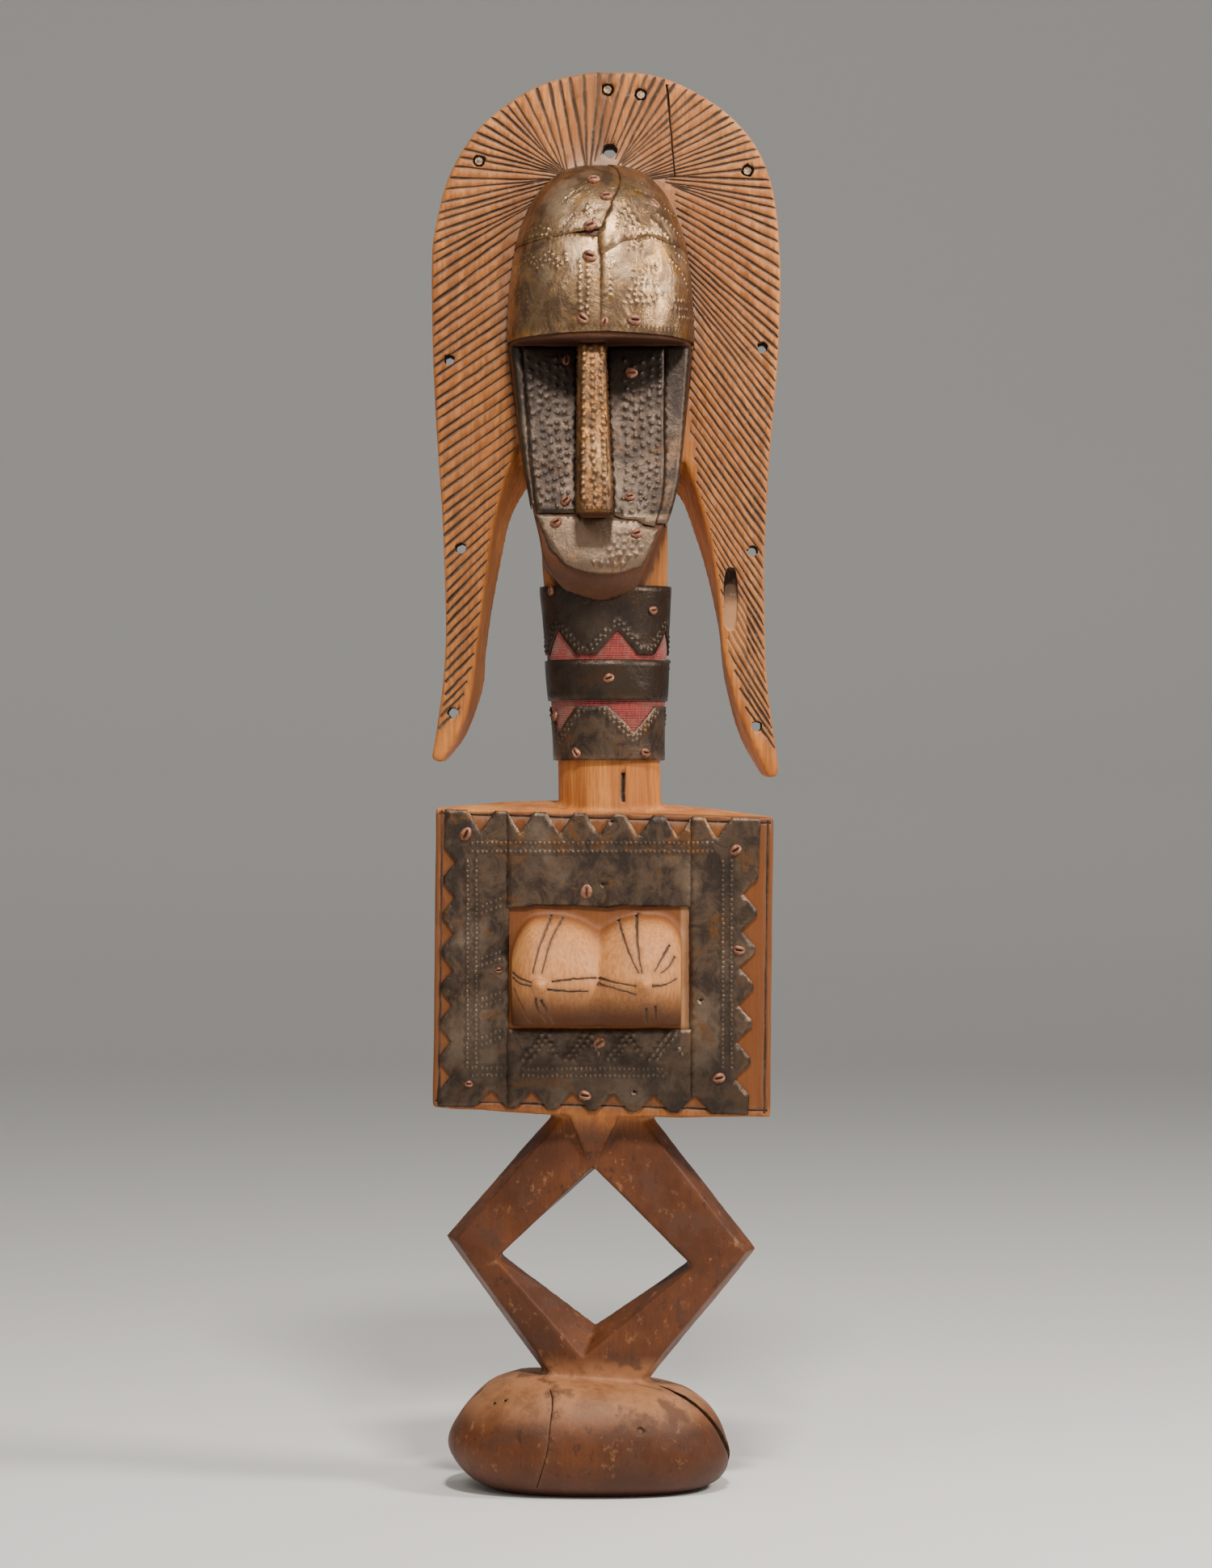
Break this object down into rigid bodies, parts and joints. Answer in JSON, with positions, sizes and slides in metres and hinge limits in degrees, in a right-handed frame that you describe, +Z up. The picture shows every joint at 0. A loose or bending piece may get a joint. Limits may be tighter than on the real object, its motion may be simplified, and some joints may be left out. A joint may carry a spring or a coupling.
{
  "type": "guardian figure",
  "caption": "Upright carved wooden guardian figure with a grooved hood-shaped crest, metal-sheeted long face, square torso, lozenge legs and oval foot.",
  "frame": {"origin": "middle of the flat underside, below the middle of the torso, on the ground", "axes": "+Z up along the figure, the face looks along -Y, +X to the viewer's right"},
  "size_m": [0.1472, 0.0939, 0.5963],
  "materials": {
    "carved_wood": "worn warm orange-brown, dark in the grooves",
    "forehead_bronze": "beaten and patinated, pale where rubbed",
    "nose_brass": "beaten, golden, dark in the hollows",
    "dark_copper": "beaten, dark grey-brown patina",
    "clip_copper": "folded copper, dull",
    "red_cloth": "woven, deep red, dusty",
    "peg_wood": "broken light end grain"
  },
  "bodies": {
    "root": {"carved_figure": "carved_wood", "forehead_sheet_lower_left": "forehead_bronze", "forehead_sheet_lower_right": "forehead_bronze", "forehead_sheet_upper_left": "forehead_bronze", "forehead_sheet_upper_right": "forehead_bronze", "cheek_sheet_left": "dark_copper", "cheek_sheet_right": "dark_copper", "cheek_strip_left": "dark_copper", "cheek_strip_right": "dark_copper", "chin_sheet": "dark_copper", "nose_sheet": "nose_brass", "neck_cloth": "red_cloth", "neck_band_top": "dark_copper", "neck_band_middle": "dark_copper", "neck_band_bottom": "dark_copper", "torso_sheet_left": "dark_copper", "torso_sheet_right": "dark_copper", "torso_sheet_top": "dark_copper", "torso_sheet_bottom": "dark_copper", "forehead_clip_1": "clip_copper", "forehead_clip_2": "clip_copper", "forehead_clip_3": "clip_copper", "forehead_clip_4": "clip_copper", "forehead_clip_5": "clip_copper", "forehead_clip_6": "clip_copper", "forehead_clip_7": "clip_copper", "forehead_clip_8": "clip_copper", "face_clip_1": "clip_copper", "face_clip_2": "clip_copper", "face_clip_3": "clip_copper", "face_clip_4": "clip_copper", "face_clip_5": "clip_copper", "face_clip_6": "clip_copper", "neck_clip_1": "clip_copper", "neck_clip_2": "clip_copper", "neck_clip_3": "clip_copper", "neck_clip_4": "clip_copper", "neck_clip_5": "clip_copper", "neck_clip_6": "clip_copper", "torso_clip_1": "clip_copper", "torso_clip_2": "clip_copper", "torso_clip_3": "clip_copper", "torso_clip_4": "clip_copper", "torso_clip_5": "clip_copper", "torso_clip_6": "clip_copper", "torso_clip_7": "clip_copper", "torso_clip_8": "clip_copper", "torso_clip_9": "clip_copper", "crest_peg_1": "peg_wood", "crest_peg_2": "peg_wood", "crest_peg_3": "peg_wood", "crest_peg_4": "peg_wood"}
  },
  "joints": []
}
